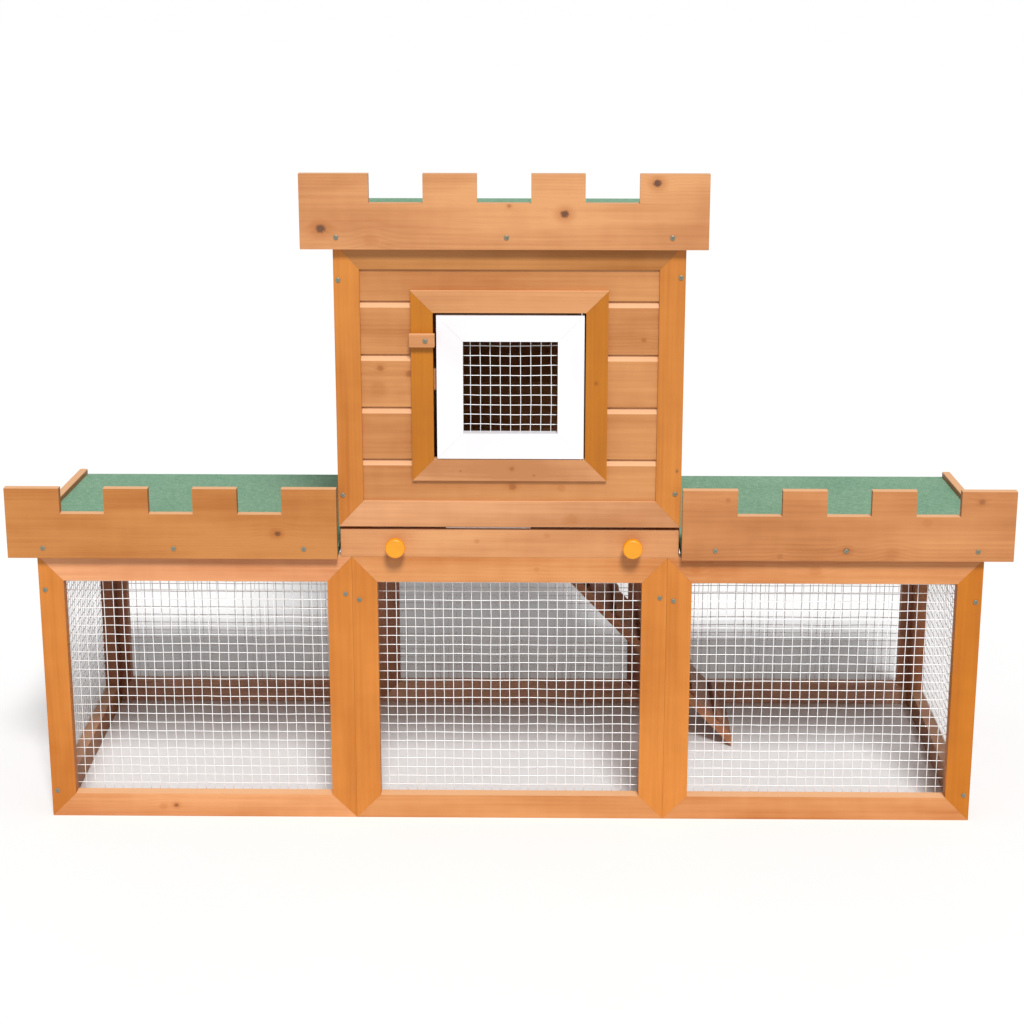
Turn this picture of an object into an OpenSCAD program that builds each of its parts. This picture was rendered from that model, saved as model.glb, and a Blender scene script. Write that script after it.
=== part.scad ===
// Castle-style rabbit hutch: a wire-meshed run of three bays under two hinged felt roofs, with a
// boarded tower over the middle bay. X is the width, Y runs from the front to the rear and Z is up.
// The origin is on the ground at the middle of the overall box. Lengths are in millimetres.

/* [Run] */
// Width of one mesh bay
bay_w = 418; // [400:1:460]
// Depth of the run, front face to rear face
run_d = 450; // [440:1:520]
// Height of the front frames
run_h = 375; // [360:1:400]
// Face width of the top rails, and of all the members of the side frames
member_w = 35; // [28:1:42]
// Face width of the uprights in the front and rear frames
stile_w = 33; // [28:1:42]
// Face width of the run's bottom rails, front and rear
sill_w = 33; // [28:1:42]
// Thickness of the frame members
member_t = 18; // [16:1:20]

/* [Tower] */
// Width of the tower
tower_w = 450; // [440:1:480]
// Height of the slot that the tray slides in, from the run to the tower's front frame
tray_slot_h = 42; // [40:1:60]
// Height of the tower's front frame
tower_frame_h = 378; // [360:1:420]
// Exposed height of one wall board
board_pitch = 70; // [60:1:80]
// Thickness of the wall boards
board_t = 10; // [9:0.5:12]
// Thickness of the tower floor
floor_t = 9; // [6:0.5:12]
// Side of the square corner posts
post_w = 20; // [16:1:25]

/* [Door] */
// Width of the door opening
opening_w = 197; // [180:1:210]
// Height of the door opening
opening_h = 195; // [180:1:200]
// Height of the door opening above the tower's front frame
opening_rise = 92; // [85:1:100]
// Face width of the trim around the opening
trim_w = 28.5; // [20:0.5:32]
// Thickness of the trim
trim_t = 5; // [5:0.5:7]
// Face width of the door's members
door_member_w = 34; // [25:1:40]
// Thickness of the door
door_t = 14.5; // [13:0.5:15]

/* [Roofs] */
// Fall of the wing roofs towards the rear, in degrees
roof_slope = 3.9; // [2:0.1:6]
// Fall of the tower's roof towards the rear, in degrees
tower_roof_slope = 3.5; // [2:0.1:6]
// Thickness of the roof panels
panel_t = 10; // [9:0.5:12]
// Thickness of the mineral felt
felt_t = 1.6; // [1:0.1:2]
// Width of a wing roof
wing_roof_w = 436; // [420:1:445]
// Width of the tower roof
tower_roof_w = 518; // [500:1:540]
// Place of the tower roof's middle across the hutch
tower_roof_x = -6.5; // [-10:0.5:10]
// Overhang of the roofs at the rear
overhang = 18; // [15:1:30]
// Height of the castle boards
fascia_h = 95.5; // [80:0.5:110]
// Thickness of the castle boards
fascia_t = 12; // [10:1:18]
// Depth of the notches between the merlons of the wings
wing_notch_h = 34.5; // [25:0.5:45]
// Depth of the notches between the merlons of the tower
tower_notch_h = 37; // [25:0.5:45]
// Thickness of the strips along the roof ends
strip_t = 12; // [8:1:15]
// Height of the strips above the felt
strip_rise = 8; // [4:1:12]

/* [Tray] */
// Depth of the metal pan
pan_d = 225; // [180:1:228]
// Sheet thickness of the pan
pan_sheet = 1; // [0.8:0.1:1.5]
// Thickness of the tray's wooden front
tray_front_t = 15; // [12:1:17]
// Diameter of the knobs
knob_d = 28; // [20:1:32]
// Reach of the knobs in front of the tray
knob_reach = 24; // [18:1:30]

/* [Ramp] */
// Width of the ramp
ramp_w = 155; // [120:1:165]
// Thickness of the ramp
ramp_t = 12; // [9:0.5:14]
// Slope of the ramp, in degrees
ramp_slope = 46.7; // [44:0.1:50]
// Number of cleats on the ramp
cleat_count = 8; // [5:1:10]

/* [Hardware] */
// Diameter of the hinge knuckles
knuckle_d = 7; // [6:0.5:8]
// Diameter of the hinge pins
pin_d = 3; // [2.5:0.5:3.5]
// Thickness of the hinge leaves
leaf_t = 1.4; // [1:0.1:1.6]
// Diameter of the screw heads
screw_head_d = 7; // [6:0.5:8]

/* [Hidden] */
$fn = 48;

// Clearances
mitre_gap = 0.1;
seat_gap = 0.1;
roof_gap = 0.2;
fascia_gap = 0.3;

// Overall heights and widths
run_w = 3 * bay_w;
tower_z = run_h + tray_slot_h;
tower_top = tower_z + tower_frame_h;
floor_z = run_h + floor_t;
wing_in_x = tower_w / 2 + 2;
face_y = -(run_d + overhang - knob_reach) / 2;

// Walls of the tower
boards_y = 3;
groove_d = 4;
groove_h = 0.6;
lip_h = 0.4;
chamfer_h = 8;
first_joint = tower_z + 91.5;
least_board_h = 20;

// Door
opening_z = tower_z + opening_rise;
trim_y = boards_y - trim_t;
door_gap_hinge = 2;
door_gap_latch = 4.5;
door_gap_top = 3.5;
door_gap_sill = 1.5;
door_w = opening_w - door_gap_hinge - door_gap_latch;
door_h = opening_h - door_gap_top - door_gap_sill;
door_x = -opening_w / 2 + door_gap_latch;
door_z = opening_z + door_gap_sill;
pivot_x = door_x + door_w - 3.5;
pivot_y = trim_y + trim_t / 2;
pivot_pin_d = 2;
pivot_pin_l = 26;
stop_w = 28;
stop_t = 9;
stop_h = 27;
stop_rise = 90;

// Turn button
button_l = 33;
button_h = 17;
button_t = 8;
button_short = 12;
button_x = door_x - 2 - button_short;
button_z = tower_z + 252;

// Roofs
fascia_rise = 0.2;
fascia_lap = 7.5;
wing_end_merlon = 72;
tower_end_merlon = 88;
hinge_spread = 120;
tower_hinge_spread = 140;

// Hinges: the leaf's outer face lies leaf_off from the pin's axis
leaf_off = knuckle_d / 2 + 0.3 + leaf_t;
bore_d = pin_d + 0.2;
hinge_l = 50;
roof_leaf_w = 12;
frame_leaf_w = 22;
ramp_leaf_w = 26;
ramp_hinge_l = 36;

// Ramp
ramp_y = run_d - 38 - ramp_w;
ramp_axis_x = -13;
ramp_axis_z = run_h - leaf_off - seat_gap;
ramp_top_n = leaf_off - leaf_t - seat_gap;
ramp_low_n = ramp_top_n - ramp_t;
ramp_start = knuckle_d / 2 + 1;
ramp_end = (ramp_axis_z + ramp_low_n * cos(ramp_slope)) / sin(ramp_slope);
hatch_x = ramp_axis_x + 1;
hatch_w = 202;
hatch_margin = 7;
ramp_hinge_ys = [ramp_y + 28, ramp_y + ramp_w - 28];
cleat_w = 12;
cleat_h = 6;

// Tray
tray_front_w = tower_w - 4;
tray_front_rise = 0.3;
tray_front_h = 36.5;
pan_w = 368;
pan_z = floor_z + 0.6;
pan_h = 30;
knob_xs = [-150, 162];
knob_z = run_h + 18;
spigot_d = 5;
spigot_l = 8;
guide_w = 9;
guide_h = 12;

// Wire mesh stands as thin plain sheets, behind the front frames and outside the others
mesh_t = 2;
mesh_lap = 7;

// Screws
shank_d = 3.2;
shank_l = 14;
roof_shank_l = fascia_t - 2;
head_h = 1.4;
shank_bore_d = 3.4;
run_screws = [
    [-run_w / 2 + 8, run_h - 48], [-run_w / 2 + 8, 37],
    [-bay_w / 2 - 9, run_h - 52], [-bay_w / 2 + 9, run_h - 60],
    [bay_w / 2 - 9, run_h - 56], [bay_w / 2 + 9, run_h - 60],
    [run_w / 2 - 8, run_h - 60], [run_w / 2 - 8, 37]
];
tower_screws = [
    [-tower_w / 2 + 6, tower_z + 43], [-tower_w / 2 + 6, tower_top - 49],
    [tower_w / 2 - 8, tower_z + 46], [tower_w / 2 - 6, tower_top - 45]
];
wing_screws = [for (x = [44, 216, 389]) [wing_in_x + x, run_h + 14]];
tower_roof_screw_places = [for (x = [-213, 3, 213]) [x, tower_top + 8]];

wood = [0.86, 0.58, 0.36];
stile_wood = [0.85, 0.53, 0.27];
inner_wood = [0.62, 0.42, 0.28];
felt_green = [0.52, 0.66, 0.55];
zinc = [0.72, 0.74, 0.75];

// ---------- places ----------

// The run's front face stands at y = 0 inside this
module on_hutch() translate([0, face_y, 0]) children();

// Slope of the roof that rests on a frame of height top_z
function slope(top_z) = top_z == tower_top ? tower_roof_slope : roof_slope;

// Length of that roof along its slope
function roof_l(top_z) =
    (run_d + overhang - (panel_t + felt_t + strip_rise) * sin(slope(top_z))) / cos(slope(top_z));

// Height of its underside at a distance y from the front
function under_z(top_z, y) = top_z + roof_gap + (member_t - y) * tan(slope(top_z));

// A sloping roof's own frame: x as the hutch, y down the slope, z out of the roof
module on_roof(top_z) translate([0, 0, under_z(top_z, 0)]) rotate([-slope(top_z), 0, 0]) children();

// Everything below a roof's underside
module under_roof(top_z)
    rotate([90, 0, 90]) linear_extrude(2 * run_w, center = true)
        polygon([[-50, -50], [run_d + 50, -50],
                 [run_d + 50, under_z(top_z, run_d + 50) - roof_gap],
                 [-50, under_z(top_z, -50) - roof_gap]]);

// Turns an outline drawn in x and z into a board from y = 0 to y = t
module upright(t) translate([0, t, 0]) rotate([90, 0, 0]) linear_extrude(t) children();

// Turns an outline drawn in y and z into a solid from x = 0 to x = t
module sideways(t) rotate([90, 0, 90]) linear_extrude(t) children();

// ---------- timber ----------

// Four mitred bars between an outer and an inner outline of four corners each
module mitred_bars(outer, inner)
    for (i = [0:3]) {
        j = (i + 1) % 4;
        run = outer[j] - outer[i];
        step = run / norm(run) * mitre_gap;
        polygon([outer[i] + step, outer[j] - step, inner[j] - step, inner[i] + step]);
    }

function corners(x0, z0, x1, z1) = [[x0, z0], [x1, z0], [x1, z1], [x0, z1]];

// Rectangular mitred frame with uprights, a bottom rail and a top rail of the given widths
module mitred_frame(x0, z0, x1, z1, upright_w, bottom_w, top_w)
    mitred_bars(corners(x0, z0, x1, z1),
                corners(x0 + upright_w, z0 + bottom_w, x1 - upright_w, z1 - top_w));

// Drills screw holes from the front face at y = 0
module drilled(places, l = shank_l)
    difference() {
        children();
        for (p = places) translate([p[0], -1, p[1]]) rotate([-90, 0, 0])
            cylinder(d = shank_bore_d, h = l + 1.5);
    }

// Frame of one bay: side is -1, 0 or 1
module bay_frame(side, h)
    mitred_frame((side - 0.5) * bay_w + seat_gap, 0, (side + 0.5) * bay_w - seat_gap, h,
                 stile_w, sill_w, member_w);

module front_frame(side)
    on_hutch() color(stile_wood) drilled(run_screws) upright(member_t) bay_frame(side, run_h);

function rear_h(side) = side == 0 ? run_h : under_z(run_h, run_d) - roof_gap;

module rear_frame(side)
    on_hutch() color(inner_wood) translate([0, run_d - member_t, 0]) upright(member_t)
        bay_frame(side, rear_h(side));

module side_frame(side) {
    y0 = member_t + seat_gap;
    y1 = run_d - member_t - seat_gap;
    top0 = under_z(run_h, y0) - roof_gap;
    top1 = under_z(run_h, y1) - roof_gap;
    fall = member_w * tan(roof_slope);
    outer = [[y0, 0], [y1, 0], [y1, top1], [y0, top0]];
    inner = [[y0 + member_w, member_w], [y1 - member_w, member_w],
             [y1 - member_w, top1 - member_w + fall], [y0 + member_w, top0 - member_w - fall]];
    on_hutch() color(inner_wood) translate([side > 0 ? run_w / 2 - member_t : -run_w / 2, 0, 0])
        sideways(member_t) mitred_bars(outer, inner);
}

// Mesh sheet of one bay, lapped onto its frame
module bay_mesh(side, h, y)
    on_hutch() color(zinc) translate([0, y, 0]) upright(mesh_t) {
        edge = member_w - mesh_lap;
        translate([(side - 0.5) * bay_w + edge, edge]) square([bay_w - 2 * edge, h - 2 * edge]);
    }

module front_mesh(side) bay_mesh(side, run_h, member_t + seat_gap);
module rear_mesh(side) bay_mesh(side, rear_h(side), run_d + seat_gap);

module side_mesh(side) {
    edge = member_w - mesh_lap;
    y0 = member_t + edge;
    y1 = run_d - member_t - edge;
    x = run_w / 2 + seat_gap;
    on_hutch() color(zinc) translate([side > 0 ? x : -x - mesh_t, 0, 0]) sideways(mesh_t)
        polygon([[y0, edge], [y1, edge],
                 [y1, under_z(run_h, y1) - edge], [y0, under_z(run_h, y0) - edge]]);
}

// ---------- tower ----------

module floor_bearer()
    on_hutch() color(inner_wood) translate([-bay_w / 2 + member_w, member_t + seat_gap, run_h - member_t])
        cube([bay_w - 2 * member_w, member_t, member_t]);

module tower_floor()
    on_hutch() color(inner_wood) difference() {
        translate([-tower_w / 2, member_t + seat_gap, run_h])
            cube([tower_w, run_d - member_t - seat_gap, floor_t]);
        translate([hatch_x, ramp_y - hatch_margin, run_h - 1])
            cube([hatch_w, ramp_w + 2 * hatch_margin, floor_t + 2]);
    }

module tower_posts()
    on_hutch() color(inner_wood) intersection() {
        for (s = [-1, 1], y = [member_t + seat_gap, run_d - board_t - seat_gap - post_w])
            translate([s * (tower_w / 2 - board_t - seat_gap - post_w / 2) - post_w / 2, y, floor_z])
                cube([post_w, post_w, tower_top]);
        under_roof(tower_top);
    }

module tower_front_frame()
    on_hutch() color(stile_wood) drilled(tower_screws) upright(member_t)
        mitred_frame(-tower_w / 2, tower_z, tower_w / 2, tower_top, stile_w, member_w, member_w);

// One board with its outer face at y = 0: a chamfer on top and a lip below where boards meet
module wall_board(len, z0, z1, joint_below, joint_above)
    sideways(len) polygon(concat(
        [[board_t, z0], [board_t, z1]],
        joint_above ? [[groove_d, z1], [groove_d, z1 - groove_h], [0, z1 - groove_h - chamfer_h]]
                    : [[0, z1]],
        joint_below ? [[0, z0 + lip_h], [groove_d, z0 + lip_h], [groove_d, z0]] : [[0, z0]]));

// The lowest joint that leaves a board worth fitting above height lo
function lowest_joint(lo) =
    first_joint - board_pitch * floor((first_joint - lo - least_board_h) / board_pitch);

// Rows of boards from height lo to height hi
module board_wall(len, lo, hi) {
    base = lowest_joint(lo);
    last = floor((hi - least_board_h - base) / board_pitch) + 1;
    for (k = [0:last])
        wall_board(len, k == 0 ? lo : base + (k - 1) * board_pitch,
                   k == last ? hi : base + k * board_pitch - seat_gap, k > 0, k < last);
}

module tower_front_boards()
    on_hutch() color(wood) difference() {
        inside = tower_w / 2 - stile_w - seat_gap;
        translate([-inside, boards_y, 0])
            board_wall(2 * inside, tower_z + member_w + seat_gap, tower_top - member_w - seat_gap);
        translate([-opening_w / 2, 0, opening_z]) cube([opening_w, 2 * board_t, opening_h]);
    }

module tower_side_boards()
    intersection() {
        translate([tower_w / 2, member_t + seat_gap, 0]) rotate([0, 0, 90])
            board_wall(run_d - board_t - member_t - 2 * seat_gap, floor_z, tower_top);
        under_roof(tower_top);
    }

module tower_left_boards() on_hutch() color(wood) mirror([1, 0, 0]) tower_side_boards();
module tower_right_boards() on_hutch() color(wood) tower_side_boards();

module tower_rear_boards()
    on_hutch() color(wood) translate([tower_w / 2, run_d, 0]) rotate([0, 0, 180])
        board_wall(tower_w, floor_z, under_z(tower_top, run_d) - roof_gap);

// ---------- door ----------

// Upright bore on the door's pivot line, from the top to the bottom of the trim
module pivot_bore(d)
    translate([pivot_x, pivot_y, opening_z - trim_w]) cylinder(d = d, h = opening_h + 2 * trim_w);

module door_trim()
    on_hutch() color(stile_wood) difference() {
        translate([0, trim_y, 0]) upright(trim_t)
            mitred_frame(-opening_w / 2 - trim_w, opening_z - trim_w,
                         opening_w / 2 + trim_w, opening_z + opening_h + trim_w,
                         trim_w, trim_w, trim_w);
        intersection() {
            pivot_bore(pivot_pin_d + 0.1);
            for (z = [opening_z - trim_w / 2, opening_z + opening_h + trim_w / 2])
                translate([pivot_x, pivot_y, z]) cube([10, 10, trim_w + 8], center = true);
        }
        translate([button_x, trim_y - 1, button_z]) rotate([-90, 0, 0])
            cylinder(d = shank_bore_d, h = trim_t - 1);
    }

module door_stop()
    on_hutch() color(wood)
        translate([-opening_w / 2 - stop_w / 2, boards_y + board_t, opening_z + stop_rise])
            cube([stop_w, stop_t, stop_h]);

module door_frame()
    on_hutch() color("white") difference() {
        translate([0, trim_y, 0]) upright(door_t)
            mitred_frame(door_x, door_z, door_x + door_w, door_z + door_h,
                         door_member_w, door_member_w, door_member_w);
        for (z = [door_z, door_z + door_h])
            translate([pivot_x, pivot_y, z]) cylinder(d = pivot_pin_d + 0.2, h = 32, center = true);
    }

module door_mesh()
    on_hutch() color(zinc) translate([door_x, trim_y + door_t + seat_gap, door_z]) upright(mesh_t / 2) {
        edge = door_member_w - 8;
        translate([edge, edge]) square([door_w - 2 * edge, door_h - 2 * edge]);
    }

module door_pivot_pins()
    on_hutch() color(zinc) for (z = [door_z + 1, door_z + door_h - 1])
        translate([pivot_x, pivot_y, z]) cylinder(d = pivot_pin_d, h = pivot_pin_l, center = true);

module turn_button()
    on_hutch() color(wood) difference() {
        translate([button_x + button_short - button_l, trim_y - button_t - seat_gap,
                   button_z - button_h / 2])
            cube([button_l, button_t, button_h]);
        translate([button_x, trim_y - button_t - 1, button_z]) rotate([-90, 0, 0])
            cylinder(d = shank_bore_d, h = button_t + 2);
    }

// ---------- tray ----------

module tray_front()
    on_hutch() color(wood) difference() {
        translate([-tray_front_w / 2, 0, run_h + tray_front_rise])
            cube([tray_front_w, tray_front_t, tray_front_h]);
        for (x = knob_xs) translate([x, -1, knob_z]) rotate([-90, 0, 0])
            cylinder(d = spigot_d, h = spigot_l + 1);
    }

module tray_pan()
    on_hutch() color(zinc) translate([-pan_w / 2, tray_front_t, pan_z]) difference() {
        cube([pan_w, pan_d, pan_h]);
        translate([pan_sheet, pan_sheet, pan_sheet])
            cube([pan_w - 2 * pan_sheet, pan_d - 2 * pan_sheet, pan_h]);
    }

// Turned knob: a spigot, a neck and a rounded head, out along +z
module knob() {
    neck = 10;
    head = knob_reach - neck;
    soft = 5;
    translate([0, 0, -spigot_l]) cylinder(d = spigot_d - 0.1, h = spigot_l + 1);
    rotate_extrude() polygon(concat(
        [[0, 0], [knob_d * 0.28, 0], [knob_d * 0.26, neck - 3], [knob_d / 2 - 1.5, neck]],
        [for (a = [0:15:90]) [knob_d / 2 - soft + soft * cos(a), neck + head - soft + soft * sin(a)]],
        [[0, neck + head]]));
}

module tray_knobs()
    on_hutch() color([0.98, 0.67, 0.1]) for (x = knob_xs)
        translate([x, 0, knob_z]) rotate([90, 0, 0]) knob();

module tray_guides()
    on_hutch() color(inner_wood) {
        for (s = [-1, 1]) translate([s * (pan_w / 2 + 1.5 + guide_w / 2) - guide_w / 2,
                                     member_t + post_w + 2, floor_z])
            cube([guide_w, pan_d - 25, guide_h]);
        translate([-pan_w / 2, tray_front_t + pan_d + 1, floor_z]) cube([pan_w, guide_w - 1, guide_h]);
    }

// ---------- roofs ----------

// Castle board from x0 to x1: four merlons, the outer two end_w wide
module fascia(x0, x1, z0, end_w, notch_h, screws)
    drilled_at(screws) translate([0, -fascia_t, 0]) upright(fascia_t) difference() {
        translate([x0, z0]) square([x1 - x0, fascia_h]);
        step = (x1 - x0 - 2 * end_w) / 5;
        for (i = [0, 2, 4])
            translate([x0 + end_w + i * step, z0 + fascia_h - notch_h]) square([step, notch_h + 1]);
    }

module drilled_at(screws)
    translate([0, -fascia_t, 0]) drilled(screws, roof_shank_l) translate([0, fascia_t, 0]) children();

module roof_strip(x, top_z)
    on_roof(top_z) translate([x, fascia_gap, 0])
        cube([strip_t, roof_l(top_z) - fascia_gap, panel_t + felt_t + strip_rise]);

module wing_panel()
    on_roof(run_h) translate([wing_in_x + felt_t + seat_gap, fascia_gap, 0])
        cube([wing_roof_w - felt_t - strip_t - 2 * seat_gap, roof_l(run_h) - fascia_gap, panel_t]);

// The felt covers the panel and turns down over its inner end
module wing_felt()
    on_roof(run_h) difference() {
        translate([wing_in_x, fascia_gap, 0])
            cube([wing_roof_w - strip_t - seat_gap, roof_l(run_h) - fascia_gap, panel_t + felt_t]);
        translate([wing_in_x + felt_t, -1, -1]) cube([wing_roof_w, roof_l(run_h) + 3, panel_t + 1]);
    }

module wing_fascia()
    fascia(wing_in_x, wing_in_x + wing_roof_w, run_h + fascia_rise, wing_end_merlon, wing_notch_h,
           wing_screws);

module left_roof_panel() on_hutch() color(inner_wood) mirror([1, 0, 0]) wing_panel();
module left_roof_felt() on_hutch() color(felt_green) mirror([1, 0, 0]) wing_felt();
module left_roof_fascia() on_hutch() color(wood) mirror([1, 0, 0]) wing_fascia();
module left_roof_strip()
    on_hutch() color(wood) mirror([1, 0, 0]) roof_strip(wing_in_x + wing_roof_w - strip_t, run_h);
module right_roof_panel() on_hutch() color(inner_wood) wing_panel();
module right_roof_felt() on_hutch() color(felt_green) wing_felt();
module right_roof_fascia() on_hutch() color(wood) wing_fascia();
module right_roof_strip() on_hutch() color(wood) roof_strip(wing_in_x + wing_roof_w - strip_t, run_h);

module on_tower_roof() on_hutch() translate([tower_roof_x, 0, 0]) children();

module tower_roof_panel()
    on_tower_roof() color(inner_wood) on_roof(tower_top)
        translate([-tower_roof_w / 2 + strip_t + seat_gap, fascia_gap, 0])
            cube([tower_roof_w - 2 * strip_t - 2 * seat_gap, roof_l(tower_top) - fascia_gap, panel_t]);

module tower_roof_felt()
    on_tower_roof() color(felt_green) on_roof(tower_top)
        translate([-tower_roof_w / 2 + strip_t + seat_gap, fascia_gap, panel_t])
            cube([tower_roof_w - 2 * strip_t - 2 * seat_gap, roof_l(tower_top) - fascia_gap, felt_t]);

module tower_roof_fascia()
    on_tower_roof() color(wood)
        fascia(-tower_roof_w / 2, tower_roof_w / 2, tower_top - fascia_lap, tower_end_merlon,
               tower_notch_h, tower_roof_screw_places);

module tower_roof_strips()
    on_tower_roof() color(wood) for (x = [-tower_roof_w / 2, tower_roof_w / 2 - strip_t])
        roof_strip(x, tower_top);

// ---------- hinges ----------

// Section of a leaf in y and z: the plate lies above the pin and runs to +y from lead
module leaf_section(lead, w) translate([lead, leaf_off - leaf_t]) square([w - lead, leaf_t]);

module knuckle_section(lead)
    difference() {
        union() {
            circle(d = knuckle_d);
            translate([lead, 0]) square([3, leaf_off - leaf_t / 2]);
        }
        circle(d = bore_d);
    }

// One leaf along x, with knuckles on the outer thirds or on the middle third
module hinge_leaf(len, lead, w, outer) {
    third = len / 3;
    translate([-len / 2, 0, 0]) sideways(len) leaf_section(lead, w);
    for (k = outer ? [0, 2] : [1])
        translate([-len / 2 + k * third + 0.15, 0, 0]) sideways(third - 0.3) knuckle_section(lead);
}

module hinge_pin(len) rotate([0, 90, 0]) cylinder(d = pin_d, h = len, center = true);

hinge_y = run_d + leaf_off + seat_gap;
function hinge_z(top_z) = under_z(top_z, hinge_y) - (leaf_off + seat_gap) / cos(slope(top_z));

// Both hinges of the roof whose hinges stand at x either side of mid_x
module at_roof_hinges(mid_x, spread, top_z)
    for (s = [-1, 1]) translate([mid_x + s * spread, hinge_y, hinge_z(top_z)]) children();

wing_mid_x = wing_in_x + wing_roof_w / 2;

module wing_hinge_leaves()
    at_roof_hinges(wing_mid_x, hinge_spread, run_h) rotate([-slope(run_h), 0, 0])
        hinge_leaf(hinge_l, -knuckle_d / 2, roof_leaf_w, false);

module left_roof_hinge_leaves() on_hutch() color(zinc) mirror([1, 0, 0]) wing_hinge_leaves();
module right_roof_hinge_leaves() on_hutch() color(zinc) wing_hinge_leaves();
module tower_roof_hinge_leaves()
    on_hutch() color(zinc) at_roof_hinges(0, tower_hinge_spread, tower_top)
        rotate([-slope(tower_top), 0, 0]) hinge_leaf(hinge_l, -knuckle_d / 2, roof_leaf_w, false);

// Leaf on the rear face of a frame: the plate stands upright and runs down
module frame_leaf()
    rotate([90, 0, 0]) mirror([0, 1, 0]) hinge_leaf(hinge_l, -knuckle_d / 2, frame_leaf_w, true);

module every_roof_hinge() {
    at_roof_hinges(-wing_mid_x, hinge_spread, run_h) children();
    at_roof_hinges(wing_mid_x, hinge_spread, run_h) children();
    at_roof_hinges(0, tower_hinge_spread, tower_top) children();
}

module at_ramp_hinges()
    for (y = ramp_hinge_ys) translate([ramp_axis_x, y, ramp_axis_z]) rotate([0, 0, -90]) children();

module fixed_hinge_leaves()
    on_hutch() color(zinc) {
        every_roof_hinge() frame_leaf();
        at_ramp_hinges() mirror([0, 1, 0]) hinge_leaf(ramp_hinge_l, 0.3, ramp_leaf_w, true);
    }

module hinge_pins()
    on_hutch() color(zinc) {
        every_roof_hinge() hinge_pin(hinge_l + 2);
        at_ramp_hinges() hinge_pin(ramp_hinge_l + 2);
    }

// ---------- ramp ----------

// The ramp's own frame: x down the ramp from the hinge pin, z out of its upper face
module on_ramp() translate([ramp_axis_x, 0, ramp_axis_z]) rotate([0, ramp_slope, 0]) children();

module ramp_board()
    on_hutch() color(inner_wood) on_ramp() translate([0, ramp_y, 0]) upright(ramp_w)
        polygon([[ramp_start, ramp_low_n], [ramp_end, ramp_low_n],
                 [ramp_end - ramp_t * tan(ramp_slope), ramp_top_n], [ramp_start, ramp_top_n]]);

module ramp_cleats()
    on_hutch() color(inner_wood) on_ramp() {
        pitch = (ramp_end - 60) / cleat_count;
        for (i = [1:cleat_count])
            translate([10 + i * pitch, ramp_y + 6, ramp_top_n]) cube([cleat_w, ramp_w - 12, cleat_h]);
    }

module ramp_hinge_leaves()
    on_hutch() color(zinc) on_ramp()
        for (y = ramp_hinge_ys) translate([0, y, 0]) rotate([0, 0, -90])
            hinge_leaf(ramp_hinge_l, 0.3, ramp_leaf_w, false);

// ---------- screws ----------

// Pan-head screw driven along +y from the face at y = 0
module screw(len = shank_l)
    rotate([-90, 0, 0]) {
        cylinder(d = shank_d, h = len);
        translate([0, 0, -head_h]) cylinder(d = screw_head_d, h = head_h);
    }

module screws_at(places, y, len = shank_l) for (p = places) translate([p[0], y, p[1]]) screw(len);

module left_roof_screws()
    on_hutch() color(zinc) mirror([1, 0, 0]) screws_at(wing_screws, -fascia_t, roof_shank_l);

module right_roof_screws() on_hutch() color(zinc) screws_at(wing_screws, -fascia_t, roof_shank_l);

module tower_roof_screws()
    on_tower_roof() color(zinc) screws_at(tower_roof_screw_places, -fascia_t, roof_shank_l);
module frame_screws() on_hutch() color(zinc) screws_at(concat(run_screws, tower_screws), 0);
module turn_button_screw()
    on_hutch() color(zinc) translate([button_x, trim_y - button_t - 2 * seat_gap, button_z])
        screw(button_t + trim_t - 2.5);

// ---------- nodes ----------

front_frame(-1);  // front_left_frame
front_frame(0);  // front_center_frame
front_frame(1);  // front_right_frame
rear_frame(-1);  // rear_left_frame
rear_frame(0);  // rear_center_frame
rear_frame(1);  // rear_right_frame
side_frame(-1);  // left_side_frame
side_frame(1);  // right_side_frame
front_mesh(-1);  // front_left_mesh
front_mesh(0);  // front_center_mesh
front_mesh(1);  // front_right_mesh
rear_mesh(-1);  // rear_left_mesh
rear_mesh(0);  // rear_center_mesh
rear_mesh(1);  // rear_right_mesh
side_mesh(-1);  // left_side_mesh
side_mesh(1);  // right_side_mesh
floor_bearer();
tower_floor();
tower_posts();
tower_front_frame();
tower_front_boards();
tower_left_boards();
tower_right_boards();
tower_rear_boards();
door_trim();
door_stop();
tray_guides();
door_frame();
door_mesh();
door_pivot_pins();
turn_button();
turn_button_screw();
tray_front();
tray_pan();
tray_knobs();
left_roof_panel();
left_roof_felt();
left_roof_fascia();
left_roof_strip();
left_roof_hinge_leaves();
left_roof_screws();
right_roof_panel();
right_roof_felt();
right_roof_fascia();
right_roof_strip();
right_roof_hinge_leaves();
right_roof_screws();
tower_roof_panel();
tower_roof_felt();
tower_roof_fascia();
tower_roof_strips();
tower_roof_hinge_leaves();
tower_roof_screws();
ramp_board();
ramp_cleats();
ramp_hinge_leaves();
fixed_hinge_leaves();
hinge_pins();
frame_screws();
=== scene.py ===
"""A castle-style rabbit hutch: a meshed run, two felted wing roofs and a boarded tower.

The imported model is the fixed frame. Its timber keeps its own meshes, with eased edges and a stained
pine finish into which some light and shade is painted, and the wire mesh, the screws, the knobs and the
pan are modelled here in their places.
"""

from __future__ import annotations

import logging
import math
from collections.abc import Callable
from dataclasses import dataclass
from enum import Enum

import bpy
from mathutils import Matrix, Vector


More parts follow.
